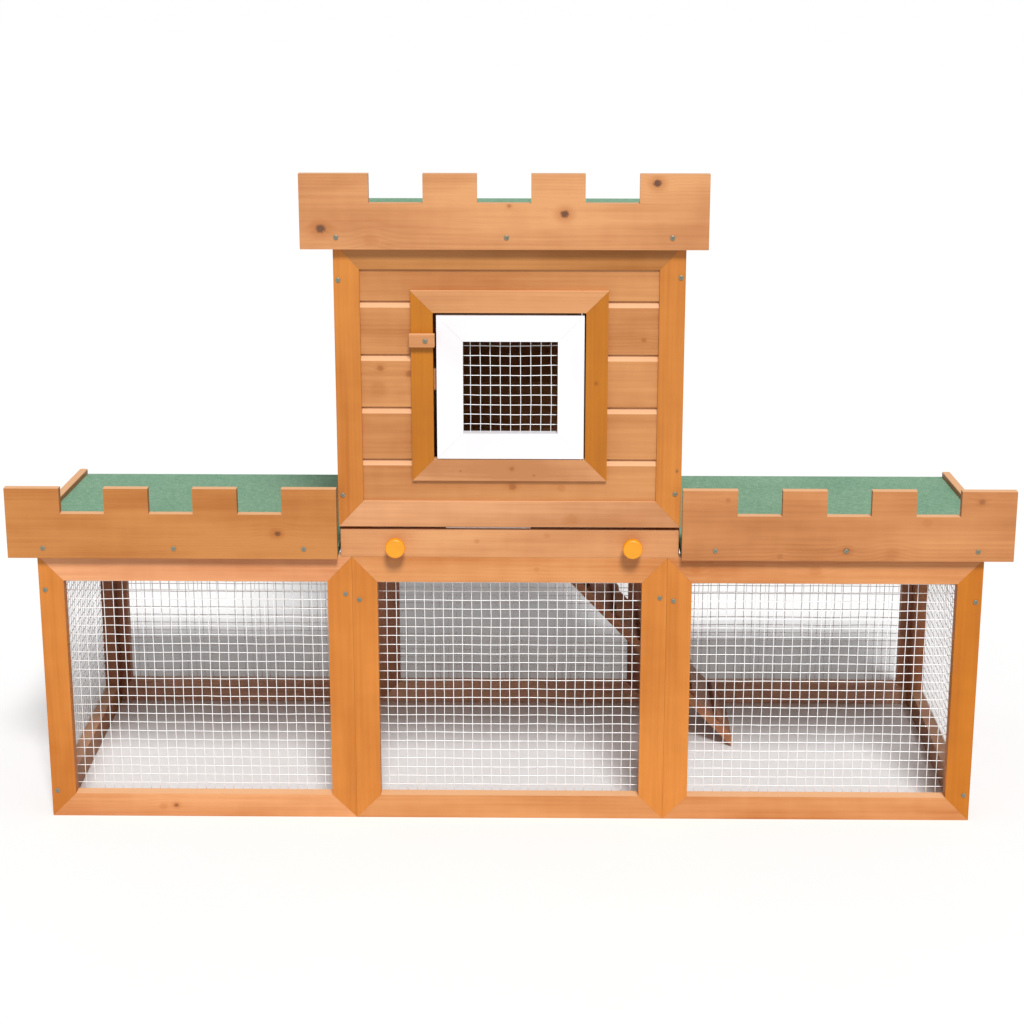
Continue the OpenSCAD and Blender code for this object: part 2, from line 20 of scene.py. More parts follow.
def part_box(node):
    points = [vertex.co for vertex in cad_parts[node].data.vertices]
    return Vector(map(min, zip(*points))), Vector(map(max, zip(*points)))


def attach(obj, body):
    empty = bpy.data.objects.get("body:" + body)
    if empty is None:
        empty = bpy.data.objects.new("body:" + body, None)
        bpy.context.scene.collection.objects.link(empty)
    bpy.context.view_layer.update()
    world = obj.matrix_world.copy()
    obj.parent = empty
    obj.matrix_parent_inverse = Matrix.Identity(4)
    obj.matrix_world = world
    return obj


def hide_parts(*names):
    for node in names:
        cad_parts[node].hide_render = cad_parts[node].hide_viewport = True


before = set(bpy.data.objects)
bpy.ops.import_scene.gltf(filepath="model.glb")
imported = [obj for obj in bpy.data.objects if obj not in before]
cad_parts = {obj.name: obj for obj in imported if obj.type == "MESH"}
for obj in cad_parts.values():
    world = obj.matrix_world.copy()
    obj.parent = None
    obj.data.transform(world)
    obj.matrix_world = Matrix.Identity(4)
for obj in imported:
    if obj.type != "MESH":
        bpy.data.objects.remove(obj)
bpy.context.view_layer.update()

LOG = logging.getLogger("hutch")

Piece = bpy.types.Object
Finish = bpy.types.Material
Socket = bpy.types.NodeSocket
Value = float | Socket
Colour = tuple[float, float, float]
Point = tuple[float, float, float]
Four = tuple[float, float, float, float]
Box = tuple[Point, Point]

CLOSE = 0.001
"""How near two places, in metres, count as the same edge."""


def linear(colour: Colour) -> Four:
    """Turns a display colour, 0 to 255, into the linear colour and alpha that a shader takes."""
    shares = (channel / 255.0 for channel in colour)
    red, green, blue = (c / 12.92 if c <= 0.04045 else ((c + 0.055) / 1.055) ** 2.4 for c in shares)
    return (red, green, blue, 1.0)


class Graph:
    """The node tree of one material, written as plain arithmetic on sockets."""

    def __init__(self, name: str) -> None:
        """Starts a material with a name and a Principled shader."""
        self.material = bpy.data.materials.new(name)
        self.material.use_nodes = True
        self.tree = self.material.node_tree
        self.shader = self.tree.nodes["Principled BSDF"]
        self.coordinates = self.tree.nodes.new("ShaderNodeTexCoord")

    def feed(self, socket: Socket, value: Value | tuple) -> None:
        """Links a socket into another, or sets its default value.

        Args:
            socket: The input.
            value: A socket to link, or the value to set.
        """
        if isinstance(value, Socket):
            self.tree.links.new(value, socket)
        else:
            socket.default_value = value

    def node(self, kind: str, **settings: object) -> bpy.types.Node:
        """Adds a node and sets its properties.

        Args:
            kind: Blender's name for the node.
            **settings: Its properties.

        Returns:
            The node.
        """
        made = self.tree.nodes.new(kind)
        for key, value in settings.items():
            setattr(made, key, value)
        return made

    def math(self, operation: str, a: Value, b: Value = 0.0, clamp: bool = False) -> Socket:
        """One step of arithmetic on one or two values.

        Args:
            operation: Blender's name for the step.
            a: The first value.
            b: The second value.
            clamp: True to keep the result from 0 to 1.

        Returns:
            The result.
        """
        made = self.node("ShaderNodeMath", operation=operation, use_clamp=clamp)
        self.feed(made.inputs[0], a)
        self.feed(made.inputs[1], b)
        return made.outputs[0]

    def add(self, a: Value, b: Value) -> Socket:
        """The sum of two values."""
        return self.math("ADD", a, b)

    def sub(self, a: Value, b: Value) -> Socket:
        """The first value less the second."""
        return self.math("SUBTRACT", a, b)

    def mul(self, a: Value, b: Value) -> Socket:
        """The product of two values."""
        return self.math("MULTIPLY", a, b)

    def between(self, share: Value, a: Value, b: Value) -> Socket:
        """The value that lies a share of the way from a to b.

        Args:
            share: How far on, 0 to 1.
            a: The value at 0.
            b: The value at 1.

        Returns:
            The value between.
        """
        made = self.node("ShaderNodeMix", data_type="FLOAT")
        self.feed(made.inputs[0], share)
        self.feed(made.inputs[2], a)
        self.feed(made.inputs[3], b)
        return made.outputs[0]

    def blend(self, share: Value, a: Value | tuple, b: Value | tuple) -> Socket:
        """Mixes a share, from 0 to 1, of the second colour into the first.

        Args:
            share: How much of the second colour, 0 to 1.
            a: The first colour.
            b: The second colour.

        Returns:
            The mixed colour.
        """
        made = self.node("ShaderNodeMix", data_type="RGBA")
        self.feed(made.inputs[0], share)
        self.feed(made.inputs[6], a)
        self.feed(made.inputs[7], b)
        return made.outputs[2]

    def split(self, coordinate: str) -> tuple[Socket, Socket, Socket]:
        """The x, y and z of a texture coordinate, in metres for Object."""
        made = self.node("ShaderNodeSeparateXYZ")
        self.feed(made.inputs[0], self.coordinates.outputs[coordinate])
        return (made.outputs[0], made.outputs[1], made.outputs[2])

    def vector(self, x: Value, y: Value, z: Value) -> Socket:
        """A vector from three values."""
        made = self.node("ShaderNodeCombineXYZ")
        for socket, value in zip(made.inputs, (x, y, z)):
            self.feed(socket, value)
        return made.outputs[0]

    def noise(self, place: Socket, scale: float, detail: float = 2.0) -> Socket:
        """Soft noise from 0 to 1 at a place.

        Args:
            place: Where it is read.
            scale: How many waves lie along a metre.
            detail: How many finer layers it has.

        Returns:
            The noise.
        """
        made = self.node("ShaderNodeTexNoise")
        self.feed(made.inputs["Vector"], place)
        made.inputs["Scale"].default_value = scale
        made.inputs["Detail"].default_value = detail
        return made.outputs["Fac"]

    def cells(self, place: Socket, scale: float) -> tuple[Socket, Socket]:
        """A cell pattern: the distance from each cell's middle and the cell's random grey.

        Args:
            place: Where it is read.
            scale: How many cells lie along a metre.

        Returns:
            The distance and the grey.
        """
        made = self.node("ShaderNodeTexVoronoi")
        self.feed(made.inputs["Vector"], place)
        made.inputs["Scale"].default_value = scale
        grey = self.node("ShaderNodeRGBToBW")
        self.feed(grey.inputs[0], made.outputs["Color"])
        return (made.outputs["Distance"], grey.outputs[0])

    def chance(self, number: Value) -> Socket:
        """A random value from 0 to 1 that depends on a number alone."""
        made = self.node("ShaderNodeTexWhiteNoise", noise_dimensions="1D")
        self.feed(made.inputs["W"], number)
        return made.outputs["Value"]

    def ease(self, value: Value, low: float, high: float) -> Socket:
        """A smooth step from 0 at low to 1 at high.

        Args:
            value: The value.
            low: Where the step starts.
            high: Where it ends.

        Returns:
            The eased value.
        """
        made = self.node("ShaderNodeMapRange", interpolation_type="SMOOTHSTEP")
        self.feed(made.inputs[0], value)
        made.inputs[1].default_value = low
        made.inputs[2].default_value = high
        return made.outputs[0]

    def relief(self, height: Socket, depth: float) -> None:
        """Raises the surface's shading by a height from 0 to 1, over a depth in metres.

        Args:
            height: The height, 0 to 1.
            depth: The depth.
        """
        made = self.node("ShaderNodeBump")
        made.inputs["Distance"].default_value = depth
        self.feed(made.inputs["Height"], height)
        self.feed(self.shader.inputs["Normal"], made.outputs[0])

    def finish(self, colour: Value | tuple, roughness: Value, **fixed: float) -> Finish:
        """Feeds the shader and gives the material.

        Args:
            colour: The base colour.
            roughness: The roughness.
            **fixed: Other shader values that are the same all over, with _ for a space.

        Returns:
            The finished material.
        """
        self.feed(self.shader.inputs["Base Color"], colour)
        self.feed(self.shader.inputs["Roughness"], roughness)
        for key, value in fixed.items():
            self.shader.inputs[key.replace("_", " ")].default_value = value
        return self.material


class Grain(Enum):
    """How the fibres run in a piece of timber."""

    ALONG_X = "x"
    ALONG_Y = "y"
    ALONG_Z = "z"
    MITRED_FRONT = "frame seen from the front"
    MITRED_SIDE = "frame seen from the side"


@dataclass(frozen=True)
class Stain:
    """One stain on pine, as displayed colours; the darker copies of the same pine for parts in shade are
    painted shade.

    Attributes:
        name: The stain's name.
        pale: The wood between the year rings.
        deep: The year rings and streaks.
        stiles: The same two for a mitred frame's uprights, where they differ.
        painted_top_light: Painted highlight: faces that look up are painted towards this lighter colour,
            as if lit from above.
        knot: The middle of a knot.
    """

    name: str
    pale: Colour
    deep: Colour
    stiles: tuple[Colour, Colour] | None = None
    painted_top_light: Colour = (232, 180, 134)
    knot: Colour = (84, 52, 36)


HONEY = Stain("honey_pine", (214, 152, 103), (180, 110, 60), ((198, 122, 46), (172, 98, 22)))
TAN = Stain("tan_pine", (200, 142, 92), (168, 106, 60), painted_top_light=(218, 163, 117))
RUSSET = Stain("russet_pine", (190, 128, 74), (160, 97, 46))
TRIM = Stain("trim_pine", (206, 149, 103), (172, 114, 69), ((194, 122, 46), (168, 97, 27)))
# Painted shade: the rear and side frames are the same pine as the front, given this darker, browner copy
# because they sit in shade inside the run.
UMBER_PAINTED_SHADE = Stain("umber_pine_painted_shade", (196, 142, 104), (150, 98, 66), ((168, 108, 70), (120, 68, 40)),
              (206, 160, 128), (60, 36, 26))
# Painted shade: the same pine, darker, for the parts that sit in shade under the tower and the roofs: the
# tower's floor, bearer and posts, the tray guides, the roof panels and the ramp.
PAINTED_SHADE_PINE = Stain("painted_shade_pine", (164, 108, 74), (112, 66, 42), None, (170, 118, 86), (50, 30, 22))


@dataclass(frozen=True)
class Figure:
    """How much each pattern in the wood darkens it.

    Attributes:
        rings: The dark edge of each year ring.
        streaks: Fine streaks along the fibres.
        zones: Broad darker and lighter stretches.
        ripple: Faint bands across the fibres.
        fibres: The single fibres.
        member: The difference from one member to the next.
        middle: The depth where all of them are at their middle.
    """

    rings: float = 0.16
    streaks: float = 0.75
    zones: float = 2.2
    ripple: float = 0.35
    fibres: float = 0.2
    member: float = 0.4
    middle: float = 0.45


@dataclass(frozen=True)
class Timber:
    """The finish of one timber node.

    Attributes:
        stain: Its colours.
        grain: How its fibres run.
        knots: Each knot's place along and across the face, its radius in metres and its strength.
        row_from: A board joint's height, where the node is a wall of boards.
        row_pitch: The height of one board, or 0 where there are no rows.
        seed: Sets it apart from other pieces of the same stain.
        skew: The width of the bottom and the top rail, as a share of the uprights' width.
        tones: How light the left and right upright, the bottom and the top rail are; some tones are
            painted
        light or shade. A plain piece takes the first.
        ring_pitch: The distance between year rings.
        relief: The height of the grain.
        half: Half the width of a frame's member.
        figure: How much each pattern shows.
    """

    stain: Stain
    grain: Grain
    knots: tuple[Four, ...] = ()
    row_from: float = 0.0
    row_pitch: float = 0.0
    seed: float = 0.0
    skew: tuple[float, float] = (1.0, 1.0)
    tones: tuple[float, ...] = (1.0, 1.0, 1.0, 1.0)
    ring_pitch: float = 0.0031
    relief: float = 0.00016
    half: float = 0.016
    figure: Figure = Figure()

    def lay_out(self, g: Graph, node: str) -> tuple[Socket, Socket, Socket, Value, Value, Value, Value]:
        """Works out where a point lies on its own bar or board.

        Args:
            g: The material's graph.
            node: The node that is dressed.

        Returns:
            The places along, across and into the bar, the middle of its width, its number, 1 on an
            upright of a mitred frame, and its tone.
        """
        x, y, z = g.split("Object")
        low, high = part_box(node)
        if self.grain in (Grain.MITRED_FRONT, Grain.MITRED_SIDE):
            side = self.grain is Grain.MITRED_SIDE
            level, into, axis = (y, x, 1) if side else (x, y, 0)
            left, right = low[axis], high[axis]
            to_side = g.math("MINIMUM", g.sub(level, left), g.sub(right, level))
            to_end = g.math("MINIMUM", g.sub(z, low[2]), g.sub(high[2], z))
            far_side = g.math("GREATER_THAN", level, (left + right) / 2)
            far_end = g.math("GREATER_THAN", z, (low[2] + high[2]) / 2)
            stile = g.math("LESS_THAN", g.mul(to_side, g.between(far_end, *self.skew)), to_end)
            number = g.between(stile, g.add(far_end, 3.0), g.add(far_side, 1.0))
            stile_mid = g.between(far_side, left + self.half, right - self.half)
            rail_mid = g.between(far_end, low[2] + self.half, high[2] - self.half)
            along = g.between(stile, level, z)
            across = g.between(stile, z, level)
            middle = g.between(stile, rail_mid, stile_mid)
            stile_tone = g.between(far_side, *self.tones[:2])
            tone = g.between(stile, g.between(far_end, *self.tones[2:]), stile_tone)
            return (along, across, into, middle, g.add(number, self.seed), stile, tone)
        tone = self.tones[0]
        axes = {Grain.ALONG_X: (x, z, y, 2), Grain.ALONG_Y: (y, z, x, 2), Grain.ALONG_Z: (z, x, y, 0)}
        along, across, into, axis = axes[self.grain]
        if self.row_pitch:
            row = g.math("FLOOR", g.mul(g.sub(across, self.row_from), 1.0 / self.row_pitch))
            middle = g.add(g.mul(g.add(row, 0.5), self.row_pitch), self.row_from)
            return (along, across, into, middle, g.add(row, self.seed), 0.0, tone)
        return (along, across, into, (low[axis] + high[axis]) / 2, self.seed, 0.0, tone)

    def material(self, node: str) -> Finish:
        """Makes the stained pine of one node.

        Args:
            node: The node that is dressed.

        Returns:
            The material.
        """
        g = Graph(f"{self.stain.name}_{node}")
        along, across, into, middle, number, stile, tone = self.lay_out(g, node)
        luck = g.chance(g.add(number, 0.37))
        luck_two = g.chance(g.add(number, 51.7))
        along_own = g.add(along, g.mul(luck, 7.0))
        across_own = g.add(across, g.mul(luck_two, 3.0))

        core: Value = 0.0
        halo: Value = 0.0
        swerve: Value = 0.0
        place = g.vector(along, across, into)
        ragged = g.mul(g.sub(g.noise(place, 300.0), 0.5), 0.55)
        for k_along, k_across, radius, strength in self.knots:
            u = g.mul(g.sub(along, k_along), 0.85 / radius)
            v = g.mul(g.sub(across, k_across), 1.0 / radius)
            squared = g.add(g.mul(u, u), g.mul(v, v))
            reach = g.add(g.math("SQRT", squared), ragged)
            wide = g.math("EXPONENT", g.mul(squared, -0.16))
            core = g.math("MAXIMUM", core, g.mul(g.sub(1.0, g.ease(reach, 0.45, 1.3)), strength))
            halo = g.math("MAXIMUM", halo, g.mul(wide, 0.35 + 0.65 * strength))
            swerve = g.add(swerve, g.mul(wide, radius * 190.0))

        wander = g.noise(g.vector(g.mul(along_own, 2.4), g.mul(across_own, 8.0), 0.0), 1.0, 3.0)
        off = g.sub(g.sub(across, middle), g.mul(g.sub(luck_two, 0.5), 0.07))
        under = g.add(g.mul(luck, 0.05), 0.02)
        radial = g.math("SQRT", g.add(g.mul(off, off), g.mul(under, under)))
        phase = g.add(g.mul(radial, 1.0 / self.ring_pitch), g.mul(wander, 3.6))
        phase = g.add(g.add(phase, swerve), g.mul(along, g.mul(g.sub(luck, 0.5), 2.2)))
        late = g.ease(g.math("PINGPONG", phase, 0.5), 0.1, 0.5)
        patchy = g.vector(g.mul(along_own, 1.6), g.mul(across_own, 22.0), 0.0)
        ring_worth = g.ease(g.noise(patchy, 1.0), 0.3, 0.75)

        def stretched(length: float, width: float, detail: float) -> Socket:
            """Noise drawn out along the fibres, so many times per metre along and across them."""
            spot = g.vector(g.mul(along_own, length), g.mul(across_own, width), g.mul(into, width))
            return g.noise(spot, 1.0, detail)

        streaks = stretched(3.0, 190.0, 3.0)
        fibres = stretched(30.0, 900.0, 2.0)
        zones = stretched(3.4, 15.0, 3.0)
        ripple = stretched(45.0, 18.0, 2.0)

        figure = self.figure
        depth = g.mul(g.mul(late, ring_worth), figure.rings)
        for pattern, share in ((streaks, figure.streaks), (zones, figure.zones),
                               (ripple, figure.ripple), (fibres, figure.fibres), (luck, figure.member)):
            depth = g.add(depth, g.mul(g.sub(pattern, 0.5), share))
        depth = g.math("ADD", depth, figure.middle, clamp=True)
        pale, deep = linear(self.stain.pale), linear(self.stain.deep)
        if self.stain.stiles:
            pale = g.blend(stile, pale, linear(self.stain.stiles[0]))
            deep = g.blend(stile, deep, linear(self.stain.stiles[1]))
        colour = g.blend(depth, pale, deep)
        if self.knots:
            resin = linear(self.stain.deep)
            smear = (resin[0] * 0.9, resin[1] * 0.74, resin[2] * 0.42, 1.0)
            soaked = g.math("MAXIMUM", g.mul(g.ease(halo, 0.25, 0.95), 0.55), g.math("POWER", core, 0.55))
            colour = g.blend(g.mul(soaked, 0.85), colour, smear)
            heart = g.blend(g.noise(place, 420.0), linear((112, 74, 50)), linear(self.stain.knot))
            colour = g.blend(g.mul(core, core), colour, heart)
        # Each member's tone scales its colour, and a darker tone comes out more saturated, as wood in
        # shade does: painted shade where the tone stands in for shade.
        rich = g.node("ShaderNodeHueSaturation")
        g.feed(rich.inputs["Color"], colour)
        g.feed(rich.inputs["Value"], tone)
        g.feed(rich.inputs["Saturation"], g.sub(1.45, g.mul(tone, 0.45)))
        # Painted highlight: faces that look up are blended towards the stain's lighter top colour, as if
        # lit from above.
        _, _, upward = g.split("Normal")
        thin_coat_and_top_light = g.mul(g.ease(upward, 0.3, 0.5), 0.8)
        colour = g.blend(thin_coat_and_top_light, rich.outputs[0], linear(self.stain.painted_top_light))
        height = g.add(g.mul(late, 0.4), g.mul(fibres, 0.6))
        g.relief(height, self.relief)
        return g.finish(colour, g.between(fibres, 0.5, 0.62), Specular_IOR_Level=0.4)


@dataclass(frozen=True)
class Zinc:
    """Zinc-plated or galvanised steel with its faint crystal pattern.

    Attributes:
        name: The finish's name.
        shade: How light the zinc is.
        tint: What its red, green and blue are multiplied by.
        metallic: How much of it is bare metal.
        crystals: How many crystals lie along a metre.
    """

    name: str = "zinc_plate"
    shade: float = 0.72
    tint: Colour = (1.0, 1.01, 1.0)
    metallic: float = 0.9
    crystals: float = 140.0

    def material(self) -> Finish:
        """Makes the finish."""
        g = Graph(self.name)
        place = g.coordinates.outputs["Object"]
        _, crystal = g.cells(place, self.crystals)
        cloud = g.noise(place, 60.0, 3.0)
        bright = tuple(self.shade * t for t in self.tint) + (1.0,)
        dull = tuple(0.7 * c for c in bright[:3]) + (1.0,)
        colour = g.blend(g.mul(g.add(crystal, cloud), 0.5), bright, dull)
        g.relief(cloud, 0.00008)
        return g.finish(colour, g.between(cloud, 0.3, 0.5), Metallic=self.metallic)


@dataclass(frozen=True)
class Clouded:
    """A finish that drifts softly between two shades.

    Attributes:
        name: The finish's name.
        fresh: Its lighter shade, as a shader takes it.
        settled: Its darker shade.
        scale: How many clouds lie along a metre.
        rough: Its lowest and highest roughness.
        metallic: How much of it is bare metal.
        coat: How much clear lacquer lies on it.
        peel: The height of its fine pimples.
    """

    name: str
    fresh: Four
    settled: Four
    scale: float
    rough: tuple[float, float]
    metallic: float = 0.0
    coat: float = 0.0
    peel: float = 0.0

    def material(self) -> Finish:
        """Makes the finish."""
        g = Graph(self.name)
        place = g.coordinates.outputs["Object"]
        cloud = g.noise(place, self.scale)
        if self.peel:
            g.relief(g.noise(place, 400.0), self.peel)
        return g.finish(g.blend(cloud, self.fresh, self.settled), g.between(cloud, *self.rough),
                        Metallic=self.metallic, Coat_Weight=self.coat)


# Galvanised wire, near-white with little metal: partly its pale zinc and partly a painted sheen, the
# glare of the lit wire put into its colour.
BRIGHT_WIRE_PAINTED_SHEEN = Clouded("bright_wire_painted_sheen", (0.95, 0.95, 0.95, 1.0), (0.72, 0.72, 0.72, 1.0), 220.0,
                      (0.3, 0.5), metallic=0.2)
YELLOW_LACQUER = Clouded("yellow_lacquer", linear((232, 150, 10)), linear((218, 132, 5)), 90.0,
                         (0.36, 0.48), coat=0.05, peel=0.00006)
PALE_FLOOR = Clouded("pale_floor", (0.83, 0.83, 0.83, 1.0), (0.81, 0.81, 0.81, 1.0), 3.0, (0.9, 0.9))


@dataclass(frozen=True)
class WhitePaint:
    """White satin paint, brushed along the door's members.

    Attributes:
        fresh: The paint's colour where it lies thick, as linear red, green and blue.
        thin_coat_and_top_light: The same where it lies thinly.
    """

    fresh: Colour = (0.73, 0.715, 0.74)
    thin_coat_and_top_light: Colour = (0.67, 0.65, 0.66)

    def material(self) -> Finish:
        """Makes the finish."""
        g = Graph("white_paint")
        x, y, z = g.split("Object")
        brushed = g.noise(g.vector(g.mul(x, 40.0), g.mul(y, 400.0), g.mul(z, 420.0)), 1.0, 2.0)
        patch = g.noise(g.vector(g.mul(x, 9.0), y, g.mul(z, 9.0)), 1.0, 2.0)
        colour = g.blend(g.ease(patch, 0.35, 0.8), self.fresh + (1.0,), self.thin_coat_and_top_light + (1.0,))
        g.relief(g.add(g.mul(brushed, 0.6), g.mul(patch, 0.4)), 0.00016)
        return g.finish(colour, g.between(brushed, 0.34, 0.46))


@dataclass(frozen=True)
class MineralFelt:
    """Green roofing felt: crushed mineral pressed into bitumen.

    Attributes:
        dark: The darkest grains.
        light: The lightest of the common grains.
        fleck: The few pale grains.
        relief: The height of the grains.
        grains: How many grains lie along a metre.
    """

    dark: Colour = (96, 139, 112)
    light: Colour = (140, 173, 146)
    fleck: Colour = (196, 214, 198)
    relief: float = 0.0005
    grains: float = 620.0

    def material(self) -> Finish:
        """Makes the finish."""
        g = Graph("mineral_felt")
        place = g.coordinates.outputs["Object"]
        distance, grain = g.cells(place, self.grains)
        clumps = g.noise(place, 150.0, 3.0)
        wash = g.noise(place, 9.0, 3.0)
        shade = g.add(g.mul(grain, 0.5), g.mul(g.sub(clumps, 0.5), 1.1))
        shade = g.math("ADD", shade, g.add(g.mul(g.sub(wash, 0.5), 0.6), 0.22), clamp=True)
        colour = g.blend(shade, linear(self.dark), linear(self.light))
        pale_grain = g.ease(grain, 0.78, 0.86)
        colour = g.blend(g.mul(pale_grain, 0.22), colour, linear(self.fleck))
        g.relief(g.add(g.mul(distance, -0.8), g.mul(clumps, 0.8)), self.relief)
        return g.finish(colour, 0.92, Specular_IOR_Level=0.2)


class Pick(Enum):
    """What a selection in edit mode picks."""

    FACE = "FACE"
    EDGE = "EDGE"


def select_where(obj: Piece, kind: Pick, test: Callable[..., bool]) -> None:
    """Selects, in edit mode, the faces or edges that pass a test.

    Args:
        obj: The mesh object that is being edited.
        kind: Faces or edges.
        test: Takes a face, or an edge's two ends, and says whether it is chosen.
    """
    bpy.ops.mesh.select_mode(type=kind.value)
    bpy.ops.mesh.select_all(action="DESELECT")
    bpy.ops.object.mode_set(mode="OBJECT")
    mesh = obj.data
    if kind is Pick.FACE:
        for face in mesh.polygons:
            face.select = bool(test(face))
    else:
        for edge in mesh.edges:
            edge.select = bool(test(*(mesh.vertices[i].co for i in edge.vertices)))
    bpy.ops.object.mode_set(mode="EDIT")


def named(name: str) -> Piece:
    """Names the object that was just added or joined, and gives it."""
    made = bpy.context.active_object
    made.name = name
    made.data.name = name
    return made


def start(add: Callable[..., object], name: str, **settings: object) -> Piece:
    """Adds a primitive that is the only thing selected, and names it.

    Args:
        add: The operator that adds it.
        name: Its name.
        **settings: The operator's settings.

    Returns:
        The new object.
    """
    bpy.ops.object.select_all(action="DESELECT")
    add(**settings)
    return named(name)


def push(rise: float, scale: float = 1.0) -> None:
    """Extrudes the chosen faces along z and draws them in."""
    bpy.ops.mesh.extrude_region_move(TRANSFORM_OT_translate={"value": (0, 0, rise)})
    bpy.ops.transform.resize(value=(scale, scale, 1.0))


def block(name: str, low: Vector, high: Vector) -> Piece:
    """Makes a plain block between two corners, to be shaped further.

    Args:
        name: Its name.
        low: Its lowest corner.
        high: Its highest corner.

    Returns:
        The block.
    """
    made = start(bpy.ops.mesh.primitive_cube_add, name, size=1.0, location=(low + high) / 2)
    made.scale = high - low
    settle(made)
    return made


def settle(obj: Piece) -> None:
    """Puts an object's place, turn and size into its mesh."""
    bpy.ops.object.select_all(action="DESELECT")
    obj.select_set(True)
    bpy.context.view_layer.objects.active = obj
    bpy.ops.object.transform_apply(location=True, rotation=True, scale=True)


def apply(obj: Piece, kind: str, **settings: object) -> None:
    """Adds a modifier with settings and applies it.

    Args:
        obj: The object.
        kind: Blender's name for the modifier.
        **settings: Its settings.
    """
    bpy.context.view_layer.objects.active = obj
    made = obj.modifiers.new(kind.lower(), kind)
    for key, value in settings.items():
        setattr(made, key, value)
    bpy.ops.object.modifier_apply(modifier=made.name)


def join(objects: list[Piece], name: str) -> Piece:
    """Joins several objects into one and names it.

    Args:
        objects: The objects.
        name: The new name.

    Returns:
        The joined object.
    """
    bpy.ops.object.select_all(action="DESELECT")
    for obj in objects:
        obj.select_set(True)
    bpy.context.view_layer.objects.active = objects[0]
    if len(objects) > 1:
        bpy.ops.object.join()
    return named(name)


def copy_at(obj: Piece, place: Matrix) -> Piece:
    """Copies an object with its own mesh, moved by a matrix.

    Args:
        obj: The object.
        place: The move.

    Returns:
        The copy.
    """
    made = obj.copy()
    made.data = obj.data.copy()
    made.data.transform(place)
    bpy.context.scene.collection.objects.link(made)
    return made


def dress(obj: Piece, material: Finish) -> None:
    """Gives an object one material."""
    obj.data.materials.clear()
    obj.data.materials.append(material)


def dress_node(node: str, material: Finish) -> None:
    """Gives a node of the frame its material, in the slots that it has.

    Args:
        node: The node's name.
        material: Its finish.
    """
    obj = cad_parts[node]
    if not obj.material_slots:
        obj.data.materials.append(material)
    for slot in obj.material_slots:
        slot.material = material


def ease_edges(node: str, width: float = 0.0009, segments: int = 2) -> None:
    """Takes the sharpness off a node's edges, as sanding does.

    Args:
        node: The node's name.
        width: How much is taken off.
        segments: How round it gets.
    """
    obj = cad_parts[node]
    weld = obj.modifiers.new("weld", "WELD")
    weld.merge_threshold = CLOSE / 50
    soft = obj.modifiers.new("eased", "BEVEL")
    soft.width = width
    soft.segments = segments
    soft.limit_method = "ANGLE"
    soft.angle_limit = math.radians(32)


def solids(node: str) -> list[tuple[Vector, Vector]]:
    """Finds the boxes of the separate solids in a node of the frame.

    Args:
        node: The node's name.

    Returns:
        The lowest and highest corner of each solid, from left to right and from low to high.
    """
    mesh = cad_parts[node].data
    home: dict[tuple, tuple] = {}

    def root(key: tuple) -> tuple:
        """The one point that stands for all the points of a solid."""
        while home[key] != key:
            home[key] = home[home[key]]
            key = home[key]
        return key

    keys = [tuple(round(c, 5) for c in vertex.co) for vertex in mesh.vertices]
    for key in keys:
        home.setdefault(key, key)
    for face in mesh.polygons:
        first = root(keys[face.vertices[0]])
        for index in face.vertices[1:]:
            home[root(keys[index])] = first
    boxes: dict[tuple, list[Vector]] = {}
    for key in home:
        point = Vector(key)
        box = boxes.setdefault(root(key), [point.copy(), point.copy()])
        box[0] = Vector(map(min, box[0], point))
        box[1] = Vector(map(max, box[1], point))
    return sorted(((a, b) for a, b in boxes.values()), key=lambda box: (round(box[0].x, 3), box[0].z))


